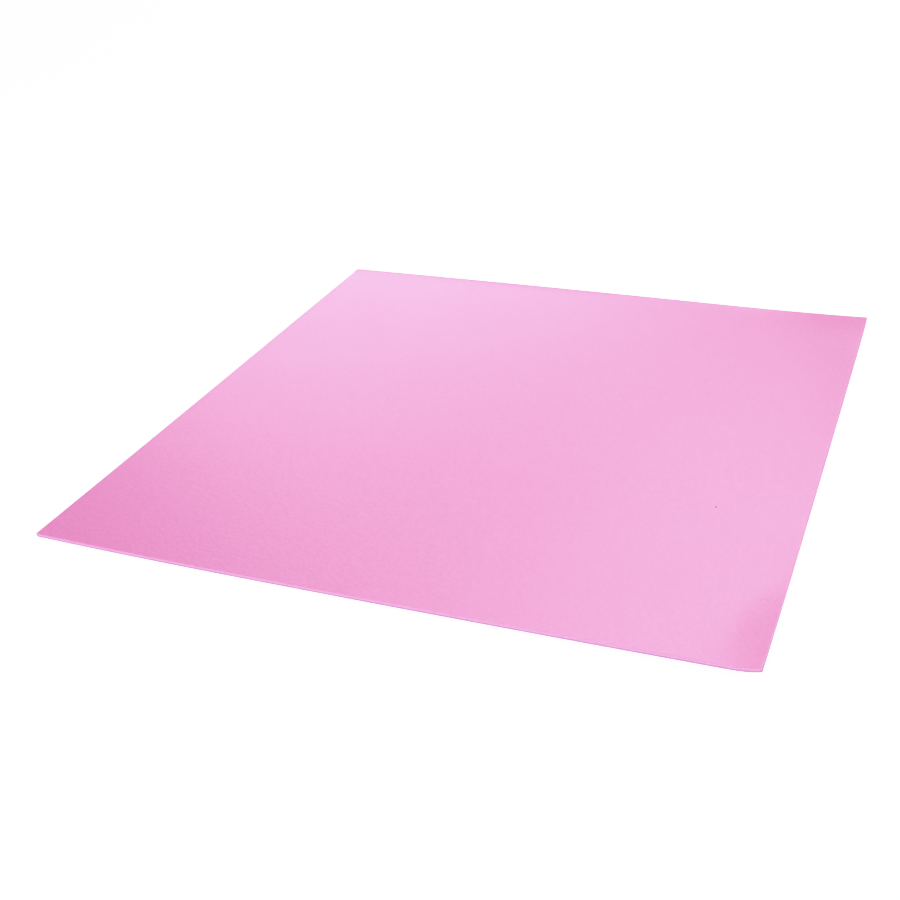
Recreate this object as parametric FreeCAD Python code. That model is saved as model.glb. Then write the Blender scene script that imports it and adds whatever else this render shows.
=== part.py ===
import FreeCAD, Part
import os

# Scoring board: one thin square sheet of satin plastic for paper crafting.
#
# The board lies on the table under a sheet of card and gives a little under a
# scoring, embossing or piercing tool. It is a single piece, die-cut from sheet
# stock: there is no frame, backing, hinge, foot or fastener.
#
# Frame: millimetres, +Z up. The origin is the centre of the underside, the face
# that rests on the table. +Y points to the back edge and +X to the right edge.

MM_PER_INCH = 25.4

# Driving dimensions
PAGE_SIDE_IN = 12.0            # the scrapbook page that the board is made for
BOARD_THICKNESS = 1.5
CORNER_RADIUS = 0.6            # die-cut corners, sharp to the eye and dull to the hand
TOP_ARRIS_RADIUS = 0.25        # rolled over by the knife as it enters
UNDERSIDE_ARRIS_RADIUS = 0.10  # where the knife leaves, almost sharp

BOARD_SIDE = PAGE_SIDE_IN * MM_PER_INCH
SAME_HEIGHT = 1e-6             # edges this close to a height lie on it


def square_blank():
    """A square slab centred on the Z axis, with its underside on Z = 0."""
    corner = FreeCAD.Vector(-BOARD_SIDE / 2, -BOARD_SIDE / 2, 0)
    return Part.makeBox(BOARD_SIDE, BOARD_SIDE, BOARD_THICKNESS, corner)


def edges_between(solid, low, high):
    """The edges of the solid that start at height low and end at height high."""
    return [
        edge
        for edge in solid.Edges
        if abs(edge.BoundBox.ZMin - low) < SAME_HEIGHT
        and abs(edge.BoundBox.ZMax - high) < SAME_HEIGHT
    ]


def scoring_sheet():
    """The whole board: the blank with rounded corners, then softened arrises."""
    sheet = square_blank()
    sheet = sheet.makeFillet(CORNER_RADIUS, edges_between(sheet, 0, BOARD_THICKNESS))
    sheet = sheet.makeFillet(
        TOP_ARRIS_RADIUS, edges_between(sheet, BOARD_THICKNESS, BOARD_THICKNESS)
    )
    sheet = sheet.makeFillet(UNDERSIDE_ARRIS_RADIUS, edges_between(sheet, 0, 0))
    return sheet


def write_node(name, shape):
    """Writes one sub-part to its STEP file and prints what it holds."""
    if not shape.isValid():
        raise ValueError(name + " is not a valid solid")
    shape.exportStep(os.path.join("parts", name + ".step"))
    box = shape.optimalBoundingBox(False, False)
    print(
        "%s: %d solid, %.2f x %.2f x %.2f mm, %.2f cm3"
        % (name, len(shape.Solids), box.XLength, box.YLength, box.ZLength, shape.Volume / 1000)
    )


os.makedirs("parts", exist_ok=True)
write_node("scoring_sheet", scoring_sheet())
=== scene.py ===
import math

import bmesh
import bpy
from mathutils import Matrix, Vector, noise


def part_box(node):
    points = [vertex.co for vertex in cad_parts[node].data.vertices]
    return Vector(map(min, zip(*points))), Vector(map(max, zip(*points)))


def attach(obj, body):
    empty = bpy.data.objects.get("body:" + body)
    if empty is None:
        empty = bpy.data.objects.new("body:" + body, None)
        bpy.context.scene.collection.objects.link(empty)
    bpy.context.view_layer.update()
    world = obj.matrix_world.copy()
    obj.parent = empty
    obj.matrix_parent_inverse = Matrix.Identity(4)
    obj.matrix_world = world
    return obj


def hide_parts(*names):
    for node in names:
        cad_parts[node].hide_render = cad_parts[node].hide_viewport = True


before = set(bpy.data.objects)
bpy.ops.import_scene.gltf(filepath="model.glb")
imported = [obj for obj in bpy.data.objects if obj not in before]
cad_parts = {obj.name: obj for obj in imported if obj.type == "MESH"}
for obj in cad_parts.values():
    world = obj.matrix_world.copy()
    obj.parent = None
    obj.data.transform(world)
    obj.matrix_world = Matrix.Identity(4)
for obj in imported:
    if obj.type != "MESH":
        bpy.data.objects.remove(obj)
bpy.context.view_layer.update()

# Scoring board: one thin square sheet of satin pink plastic, lying with a slight
# curl on a white table under soft studio light. Metres, +Z up, +Y to the back
# edge and +X to the right edge, with the origin at the centre of the underside.

NODE = "scoring_sheet"
MM = 0.001

sheet_low, sheet_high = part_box(NODE)
HALF_SIDE = (sheet_high.x - sheet_low.x) / 2
THICKNESS = sheet_high.z - sheet_low.z


# ---------------------------------------------------------------- sheet shape

CORNER_RADIUS = 0.6 * MM
TOP_ARRIS = 0.25 * MM
UNDERSIDE_ARRIS = 0.10 * MM
SLOPE_STEP = 0.1 * MM      # over which the slope of the curl is taken
ARRIS_STEPS = 3            # faces round each arris
CORNER_STEPS = 4           # faces round each corner
RIM = 1.0 * MM             # the strip round each face where the outline has rounded corners
SUPPORT = 0.15 * MM        # keeps the shading of the flat faces out of the arrises
CELLS = 72                 # grid cells along a side
EDGE_DENSITY = 0.25        # how much finer the grid gets towards the edges
EDGE_RIPPLE = 0.03 * MM    # how far the cut wanders
EDGE_RIPPLE_LENGTH = 6 * MM
WELD = 1e-7
TOP, CUT, UNDERSIDE = 0, 1, 2  # material slots
HEIGHT_LAYER = "height_share"  # 0 at the underside and 1 at the top, before the curl
FIRST_CUT_RING = 2         # the ring of the edge's section where the top face ends
LAST_CUT_RING = -3         # and the one where the underside starts

# The curl in millimetres, before the tight curls and lips below: how high each corner lies, and how
# far the middle of each edge hangs below the straight line between its corners
CORNER_RISE = {"front_left": 0.1, "front_right": 2.9, "back_right": 0.1, "back_left": 1.8}
EDGE_SAG = {"front": 0.8, "back": -0.6, "left": -0.3, "right": 1.0}
# Tight curls at corners: the corner's sides along X and Y, the direction of the curl in degrees from
# +X, its rise and its reach
CORNER_CURLS = (
    (+1, -1, -8, 1.3, 10.5),
    (+1, +1, 55, 1.3, 42),
    (-1, -1, -150, 0.8, 80),
)
# The slight lips along the right and back edges: rise and reach
RIGHT_LIP = (0.16, 5.2)
BACK_LIP = (0.25, 7.0)


def mix(start, end, share):
    return start + (end - start) * share


def corner_curl(x, y, side_x, side_y, direction, rise, reach):
    """The height of one corner's curl: it grows with the square of the way past its fold line."""
    angle = math.radians(direction)
    outward = (x - side_x * HALF_SIDE) * math.cos(angle) + (y - side_y * HALF_SIDE) * math.sin(angle)
    past_fold = max(0.0, outward / (reach * MM) + 1)
    return rise * MM * past_fold ** 2


def edge_lip(distance, rise, reach):
    """The height of an edge's lip at a distance in from that edge."""
    past_start = max(0.0, 1 - distance / (reach * MM))
    return rise * MM * past_start ** 2


def curl(x, y):
    """How high the underside of the sheet is over the table at a place of the flat sheet."""
    right = (x / HALF_SIDE + 1) / 2
    back = (y / HALF_SIDE + 1) / 2
    front_edge = mix(CORNER_RISE["front_left"], CORNER_RISE["front_right"], right)
    back_edge = mix(CORNER_RISE["back_left"], CORNER_RISE["back_right"], right)
    across_sag = mix(EDGE_SAG["front"], EDGE_SAG["back"], back) * (1 - (x / HALF_SIDE) ** 2)
    along_sag = mix(EDGE_SAG["left"], EDGE_SAG["right"], right) * (1 - (y / HALF_SIDE) ** 2)
    height = (mix(front_edge, back_edge, back) - across_sag - along_sag) * MM
    lips = edge_lip(HALF_SIDE - x, *RIGHT_LIP) + edge_lip(HALF_SIDE - y, *BACK_LIP)
    return height + lips + sum(corner_curl(x, y, *values) for values in CORNER_CURLS)


def curled(point):
    """Moves a point of the flat sheet to its place on the curled one."""
    x, y, z = point
    slope_x = (curl(x + SLOPE_STEP, y) - curl(x - SLOPE_STEP, y)) / (2 * SLOPE_STEP)
    slope_y = (curl(x, y + SLOPE_STEP) - curl(x, y - SLOPE_STEP)) / (2 * SLOPE_STEP)
    normal = Vector((-slope_x, -slope_y, 1)).normalized()
    return Vector((x, y, curl(x, y))) + normal * z


def grid_lines():
    """Where the grid lines cross a side: finer towards the edges, where the sheet curls most."""
    reach = HALF_SIDE - RIM
    lines = []
    for i in range(CELLS + 1):
        t = 2 * i / CELLS - 1
        lines.append(reach * ((1 + EDGE_DENSITY) * t - EDGE_DENSITY * t ** 3))
    return lines


def side_outline(inset):
    """One side and one corner of the outline, for the side on the right, front to back."""
    edge = HALF_SIDE - inset
    points = [(edge, y) for y in grid_lines()]
    radius = max(0.0, CORNER_RADIUS - inset)
    centre = HALF_SIDE - max(CORNER_RADIUS, inset)
    for i in range(CORNER_STEPS + 1):
        angle = math.pi / 2 * i / CORNER_STEPS
        points.append((centre + radius * math.cos(angle), centre + radius * math.sin(angle)))
    return points


def outline_ring(inset, height):
    """The whole outline at one inset and height: the right side, turned to each of the four sides."""
    ring = []
    for turn in range(4):
        quarter = Matrix.Rotation(turn * math.pi / 2, 3, "Z")
        ring += [quarter @ Vector((x, y, height)) for x, y in side_outline(inset)]
    return ring


def edge_profile():
    """The edge's section from the top face to the underside, as insets and heights."""
    profile = [(RIM, THICKNESS), (TOP_ARRIS + SUPPORT, THICKNESS)]
    for i in range(ARRIS_STEPS + 1):
        angle = math.pi / 2 * i / ARRIS_STEPS
        inset = TOP_ARRIS * (1 - math.sin(angle))
        profile.append((inset, THICKNESS - TOP_ARRIS * (1 - math.cos(angle))))
    profile.append((0, THICKNESS - TOP_ARRIS - SUPPORT))
    profile.append((0, THICKNESS / 2))
    profile.append((0, UNDERSIDE_ARRIS + SUPPORT))
    for i in range(ARRIS_STEPS + 1):
        angle = math.pi / 2 * i / ARRIS_STEPS
        inset = UNDERSIDE_ARRIS * (1 - math.cos(angle))
        profile.append((inset, UNDERSIDE_ARRIS * (1 - math.sin(angle))))
    profile += [(UNDERSIDE_ARRIS + SUPPORT, 0), (RIM, 0)]
    return profile


def ripple(point):
    """The slight wander of the cut edge, towards the middle of the sheet only."""
    along = noise.noise(point / EDGE_RIPPLE_LENGTH)
    return EDGE_RIPPLE * (0.5 + 0.5 * along)


def add_faces(bm, rows, closed, material):
    """Quads between neighbouring rows of vertices."""
    for row, next_row in zip(rows, rows[1:]):
        count = len(row) if closed else len(row) - 1
        for i in range(count):
            j = (i + 1) % len(row)
            face = bm.faces.new((row[i], row[j], next_row[j], next_row[i]))
            face.material_index = material
            face.smooth = True


def make_sheet():
    """The curled sheet as one closed mesh: top face, cut edge and underside."""
    bm = bmesh.new()
    rings = [outline_ring(inset, height) for inset, height in edge_profile()]
    rows = [[bm.verts.new(point) for point in ring] for ring in rings]
    add_faces(bm, rows[:FIRST_CUT_RING + 1], True, TOP)
    add_faces(bm, rows[FIRST_CUT_RING:LAST_CUT_RING + 1], True, CUT)
    add_faces(bm, rows[LAST_CUT_RING:], True, UNDERSIDE)
    for height, material in ((THICKNESS, TOP), (0, UNDERSIDE)):
        grid = [[bm.verts.new((x, y, height)) for x in grid_lines()] for y in grid_lines()]
        add_faces(bm, grid, False, material)
    bmesh.ops.remove_doubles(bm, verts=bm.verts[:], dist=WELD)
    height_layer = bm.verts.layers.float.new(HEIGHT_LAYER)
    for vert in bm.verts:
        flat = vert.co.copy()
        vert[height_layer] = flat.z / THICKNESS
        if max(abs(flat.x), abs(flat.y)) > HALF_SIDE - RIM / 2:
            flat -= Vector((flat.x, flat.y, 0)).normalized() * ripple(flat)
        vert.co = curled(flat)
    lowest = min(vert.co.z for vert in bm.verts)
    for vert in bm.verts:
        vert.co.z -= lowest
    bmesh.ops.recalc_face_normals(bm, faces=bm.faces[:])
    mesh = bpy.data.meshes.new("curled_sheet")
    bm.to_mesh(mesh)
    bm.free()
    sheet = bpy.data.objects.new("curled_sheet", mesh)
    bpy.context.scene.collection.objects.link(sheet)
    return sheet


# ------------------------------------------------------------------ materials

PINK = (0.836, 0.257, 0.572)
RIM_PINK = (0.87, 0.31, 0.63)          # rubbed paler along the arris
PAINTED_LIGHT_CUT_PINK = (0.98, 0.395, 0.75)         # painted light: paler than the top, for the light that the cut edge catches
PAINTED_SHADE_PINK = (0.56, 0.27, 0.52)         # painted shade: darker low on the cut edge, where shade falls under the sheet
MARK_PINK = (0.20, 0.04, 0.11)
TOP_ROUGHNESS = (0.32, 0.34)           # in the smoothest and the roughest clouds
UNDERSIDE_ROUGHNESS = (0.42, 0.50)
CUT_ROUGHNESS = 0.48

NOISE_RANGE = (0.3, 0.7)               # nearly all of a noise texture lies inside this
MOTTLE_DETAIL = 3                      # octaves of the mottle's noise
NOISE_DETAIL = 2                       # and of all the others
MOTTLE_SIZE = 1.4 * MM
MOTTLE_HEIGHT = 0.08 * MM
MOTTLE_SHADES = (0.96, 1.04)
CLOUD_SIZE = 45 * MM
PEBBLE_SIZE = 0.8 * MM                 # the moulded grain of the underside
PEBBLE_HEIGHT = 0.030 * MM
KNIFE_LINE_SIZE = 0.5 * MM
KNIFE_LINE_STRETCH = 8                 # the lines run down the cut
KNIFE_LINE_HEIGHT = 0.020 * MM
KNIFE_LINE_SHADES = (0.93, 1.05)
SHADE_STRIP_WANDER_SIZE = 4 * MM
SHADE_STRIP_WANDER = (-0.06, 0.06)            # of the thickness
SHADE_STRIP_TOP = (0.42, 0.60)                # shares of the thickness between which the strip of painted shade fades
RUBBED_WIDTH = 0.7 * MM                # of the paler rim of the top face

# Marks on the top face, from the middle of the sheet
SPECK_PLACE = (115.3 * MM, -52.9 * MM)
SPECK_EDGE = (0.30 * MM, 0.60 * MM)    # solid within the first distance, gone at the second
SCRATCH_CENTRE = (145.7 * MM, -112.2 * MM)
SCRATCH_RADIUS = 1.5 * MM
SCRATCH_EDGE = (0.05 * MM, 0.30 * MM)
SCRATCH_STRENGTH = 0.3

# Patches that handling has dulled, one at the back right corner and one along the front of the right
# edge: centre, then solid within the first distance and gone at the second
DULL_PATCHES = (
    ((HALF_SIDE - 15 * MM, HALF_SIDE + 15 * MM), (22 * MM, 50 * MM)),
    ((HALF_SIDE + 45 * MM, -135 * MM), (42 * MM, 62 * MM)),
)
DULL_ROUGHNESS = 0.22                  # added where a patch is solid


def shaded(colour, factor):
    return [channel * factor for channel in colour] + [1]


class Recipe:
    """One material's nodes, put together a step at a time."""

    def __init__(self, name):
        self.material = bpy.data.materials.new(name)
        self.material.use_nodes = True
        self.nodes = self.material.node_tree.nodes
        self.links = self.material.node_tree.links
        self.shader = self.nodes["Principled BSDF"]
        self.place = self.nodes.new("ShaderNodeTexCoord").outputs["Object"]

    def feed(self, value, socket):
        """Links a socket's result to another socket, or sets a plain value on it."""
        if isinstance(value, bpy.types.NodeSocket):
            self.links.new(value, socket)
        else:
            socket.default_value = value

    def noise(self, size, detail, stretch=1):
        """Noise with features of one size, drawn out upwards."""
        mapping = self.nodes.new("ShaderNodeMapping")
        mapping.inputs["Scale"].default_value = (1 / size, 1 / size, 1 / (size * stretch))
        self.feed(self.place, mapping.inputs["Vector"])
        texture = self.nodes.new("ShaderNodeTexNoise")
        texture.inputs["Scale"].default_value = 1
        texture.inputs["Detail"].default_value = detail
        self.feed(mapping.outputs["Vector"], texture.inputs["Vector"])
        return texture.outputs["Fac"]

    def ranged(self, value, from_range, to_range):
        """A value carried from one range to another, and held inside it."""
        node = self.nodes.new("ShaderNodeMapRange")
        node.inputs["From Min"].default_value, node.inputs["From Max"].default_value = from_range
        node.inputs["To Min"].default_value, node.inputs["To Max"].default_value = to_range
        self.feed(value, node.inputs["Value"])
        return node.outputs["Result"]

    def math(self, operation, *values):
        node = self.nodes.new("ShaderNodeMath")
        node.operation = operation
        for value, socket in zip(values, node.inputs):
            self.feed(value, socket)
        return node.outputs["Value"]

    def blend(self, factor, first, second):
        """A colour between two colours."""
        node = self.nodes.new("ShaderNodeMix")
        node.data_type = "RGBA"
        sockets = {socket.identifier: socket for socket in node.inputs}
        self.feed(factor, sockets["Factor_Float"])
        self.feed(first, sockets["A_Color"])
        self.feed(second, sockets["B_Color"])
        return next(socket for socket in node.outputs if socket.identifier == "Result_Color")

    def axes(self):
        """The place of a point along X and along Y."""
        node = self.nodes.new("ShaderNodeSeparateXYZ")
        self.feed(self.place, node.inputs["Vector"])
        return node.outputs["X"], node.outputs["Y"]

    def distance(self, centre):
        """How far a point is from a centre, seen from above."""
        squares = []
        for axis, middle in zip(self.axes(), centre):
            offset = self.math("SUBTRACT", axis, middle)
            squares.append(self.math("MULTIPLY", offset, offset))
        return self.math("SQRT", self.math("ADD", *squares))

    def share_of_height(self):
        """0 at the underside of the sheet and 1 at its top."""
        node = self.nodes.new("ShaderNodeAttribute")
        node.attribute_name = HEIGHT_LAYER
        return node.outputs["Fac"]

    def finish(self, colour, roughness, grain, grain_height):
        """Puts the colour, the roughness and a fine relief on the shader."""
        bump = self.nodes.new("ShaderNodeBump")
        bump.inputs["Distance"].default_value = grain_height
        self.feed(grain, bump.inputs["Height"])
        self.feed(bump.outputs["Normal"], self.shader.inputs["Normal"])
        self.feed(colour, self.shader.inputs["Base Color"])
        self.feed(roughness, self.shader.inputs["Roughness"])
        return self.material


def rim(recipe):
    """1 at the edge of the sheet, falling to 0 a little way in."""
    x, y = recipe.axes()
    out = recipe.math("MAXIMUM", recipe.math("ABSOLUTE", x), recipe.math("ABSOLUTE", y))
    return recipe.ranged(out, (HALF_SIDE - RUBBED_WIDTH, HALF_SIDE), (0, 1))


def marks(recipe):
    """1 on a small dark speck, and less along a hair-thin scratch shaped like an arch."""
    speck = recipe.ranged(recipe.distance(SPECK_PLACE), SPECK_EDGE, (1, 0))
    off_line = recipe.math("SUBTRACT", recipe.distance(SCRATCH_CENTRE), SCRATCH_RADIUS)
    line = recipe.ranged(recipe.math("ABSOLUTE", off_line), SCRATCH_EDGE, (SCRATCH_STRENGTH, 0))
    x, y = recipe.axes()
    arch = recipe.math("MULTIPLY", line, recipe.math("GREATER_THAN", y, SCRATCH_CENTRE[1]))
    return recipe.math("MAXIMUM", speck, arch)


def dullness(recipe):
    """The roughness that the dulled patches add."""
    added = 0.0
    for centre, edge in DULL_PATCHES:
        patch = recipe.ranged(recipe.distance(centre), edge, (DULL_ROUGHNESS, 0))
        added = recipe.math("ADD", added, patch)
    return added


def satin_plastic():
    """The top face: a satin skin with a fine mottle, faint clouds, a rubbed rim and two small marks."""
    recipe = Recipe("pink_satin_plastic")
    mottle = recipe.noise(MOTTLE_SIZE, MOTTLE_DETAIL)
    dark, light = (shaded(PINK, shade) for shade in MOTTLE_SHADES)
    colour = recipe.blend(recipe.ranged(mottle, NOISE_RANGE, (0, 1)), dark, light)
    colour = recipe.blend(rim(recipe), colour, shaded(RIM_PINK, 1))
    colour = recipe.blend(marks(recipe), colour, shaded(MARK_PINK, 1))
    clouds = recipe.ranged(recipe.noise(CLOUD_SIZE, NOISE_DETAIL), NOISE_RANGE, TOP_ROUGHNESS)
    roughness = recipe.math("ADD", clouds, dullness(recipe))
    return recipe.finish(colour, roughness, mottle, MOTTLE_HEIGHT)


def pebbled_plastic():
    """The underside: the same plastic, duller and with a coarser moulded grain."""
    recipe = Recipe("pink_pebbled_plastic")
    pebbles = recipe.noise(PEBBLE_SIZE, NOISE_DETAIL)
    dark, light = (shaded(PINK, shade) for shade in MOTTLE_SHADES)
    colour = recipe.blend(recipe.ranged(pebbles, NOISE_RANGE, (0, 1)), dark, light)
    roughness = recipe.ranged(recipe.noise(CLOUD_SIZE, NOISE_DETAIL), NOISE_RANGE, UNDERSIDE_ROUGHNESS)
    return recipe.finish(colour, roughness, pebbles, PEBBLE_HEIGHT)


def cut_edge():
    """The cut edge: fine lines down the cut on a pink lit paler than the top as painted light, over a
    darker strip of painted shade low down.
    """
    recipe = Recipe("pink_cut_edge")
    lines = recipe.noise(KNIFE_LINE_SIZE, NOISE_DETAIL, KNIFE_LINE_STRETCH)
    # Painted light: the cut edge's pink is paler than the top's, for the light the edge catches.
    dark, light = (shaded(PAINTED_LIGHT_CUT_PINK, shade) for shade in KNIFE_LINE_SHADES)
    cut = recipe.blend(recipe.ranged(lines, NOISE_RANGE, (0, 1)), dark, light)
    wander = recipe.ranged(recipe.noise(SHADE_STRIP_WANDER_SIZE, NOISE_DETAIL), NOISE_RANGE, SHADE_STRIP_WANDER)
    # Painted shade: a darker strip low on the cut edge, where shade falls under the sheet.
    painted_shade = recipe.ranged(recipe.math("ADD", recipe.share_of_height(), wander), SHADE_STRIP_TOP, (1, 0))
    colour = recipe.blend(painted_shade, cut, shaded(PAINTED_SHADE_PINK, 1))
    return recipe.finish(colour, CUT_ROUGHNESS, lines, KNIFE_LINE_HEIGHT)


# ------------------------------------------------------- table, light, camera

TABLE_HALF_SIDE = 30
TABLE_DROP = 0.2 * MM                  # keeps the table clear of the underside
TABLE_GREY = (0.4, 0.4, 0.4, 1)
TABLE_ROUGHNESS = 0.8
TABLE_GLOW = 1.25                      # lifts the table to white without brighter lights
WHITE = (1, 1, 1, 1)
ROOM_LIGHT = 0.05                      # strength of the background as light on the sheet
ROOM_SEEN = 1.4                        # and as what shows past the table

CAMERA_PLACE = (0.197, -0.479, 0.279)
CAMERA_TARGET = (0.0021, -0.0316, 0)
CAMERA_ROLL = -3.93                    # degrees
LENS = 49.07
SENSOR_WIDTH = 36
SHIFT_X = -0.0333

# The film's soft shoulder: the light in the scene and how bright it shows
FILM_WHITE = 1.6
FILM_SHOULDER = ((0.8, 0.8), (0.93, 0.895), (1.1, 0.935))
COMBINED_CURVE = 3                     # the curve that acts on all three channels


def aimed(place, target, roll):
    """A matrix at a place that looks along its own -Z at a target, then rolls about that line."""
    look = (Vector(target) - Vector(place)).to_track_quat("-Z", "Y").to_matrix().to_4x4()
    return Matrix.Translation(place) @ look @ Matrix.Rotation(math.radians(roll), 4, "Z")


# Azimuth from the back edge towards the right, elevation, distance, width, height, roll and radiance,
# with angles in degrees
SOFTBOXES = {
    "back_softbox": (-27, 19, 2.6, 1.65, 0.85, -28, 3.2),
    "strip_light": (-13.5, 39.5, 1.8, 1.15, 0.33, -38, 4.8),
    "high_strip_light": (-32, 58.5, 0.85, 1.35, 0.19, -22, 3.9),
    "overhead_softbox": (160, 62, 1.6, 1.4, 1.4, 0, 3.05),
}


def add_softbox(name, azimuth, elevation, distance, width, height, roll, radiance):
    """A soft rectangular light, out of the camera's sight, that faces the middle of the sheet."""
    light = bpy.data.lights.new(name, "AREA")
    light.shape = "RECTANGLE"
    light.size = width
    light.size_y = height
    light.energy = radiance * math.pi * width * height
    softbox = bpy.data.objects.new(name, light)
    turn, lift = math.radians(azimuth), math.radians(elevation)
    out = math.cos(lift)
    place = Vector((math.sin(turn) * out, math.cos(turn) * out, math.sin(lift)))
    softbox.matrix_world = aimed(place * distance, (0, 0, 0), -roll)
    softbox.visible_camera = False
    bpy.context.scene.collection.objects.link(softbox)


def add_table():
    """A plain white table top, wide enough to reach the horizon."""
    bm = bmesh.new()
    bmesh.ops.create_grid(bm, x_segments=1, y_segments=1, size=TABLE_HALF_SIDE)
    mesh = bpy.data.meshes.new("table")
    bm.to_mesh(mesh)
    bm.free()
    table = bpy.data.objects.new("table", mesh)
    table.location.z = -TABLE_DROP
    bpy.context.scene.collection.objects.link(table)
    recipe = Recipe("white_table")
    recipe.shader.inputs["Base Color"].default_value = TABLE_GREY
    recipe.shader.inputs["Roughness"].default_value = TABLE_ROUGHNESS
    recipe.shader.inputs["Emission Color"].default_value = WHITE
    recipe.shader.inputs["Emission Strength"].default_value = TABLE_GLOW
    mesh.materials.append(recipe.material)


def add_world():
    """A white background that lights the sheet only faintly."""
    world = bpy.data.worlds.new("studio")
    bpy.context.scene.world = world
    world.use_nodes = True
    nodes, links = world.node_tree.nodes, world.node_tree.links
    background = nodes["Background"]
    path = nodes.new("ShaderNodeLightPath")
    strength = nodes.new("ShaderNodeMix")
    strength.inputs["A"].default_value = ROOM_LIGHT
    strength.inputs["B"].default_value = ROOM_SEEN
    links.new(path.outputs["Is Camera Ray"], strength.inputs["Factor"])
    links.new(strength.outputs["Result"], background.inputs["Strength"])
    background.inputs["Color"].default_value = WHITE


def add_camera():
    camera = bpy.data.cameras.new("camera")
    camera.sensor_width = SENSOR_WIDTH
    camera.lens = LENS
    camera.shift_x = SHIFT_X
    camera_object = bpy.data.objects.new("camera", camera)
    camera_object.matrix_world = aimed(CAMERA_PLACE, CAMERA_TARGET, CAMERA_ROLL)
    bpy.context.scene.collection.objects.link(camera_object)
    bpy.context.scene.camera = camera_object


def set_film():
    """Bends the brightest tones down as film does, and leaves the others as they are."""
    view = bpy.context.scene.view_settings
    view.view_transform = "Standard"
    view.use_curve_mapping = True
    curve = view.curve_mapping
    curve.white_level = (FILM_WHITE, FILM_WHITE, FILM_WHITE)
    points = curve.curves[COMBINED_CURVE].points
    for light, shown in FILM_SHOULDER:
        points.new(light / FILM_WHITE, shown)
    for point in points:
        point.handle_type = "VECTOR"
    curve.update()


sheet = make_sheet()
for material in (satin_plastic(), cut_edge(), pebbled_plastic()):
    sheet.data.materials.append(material)
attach(sheet, "root")
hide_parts(NODE)

for name, values in SOFTBOXES.items():
    add_softbox(name, *values)
add_table()
add_world()
add_camera()
set_film()
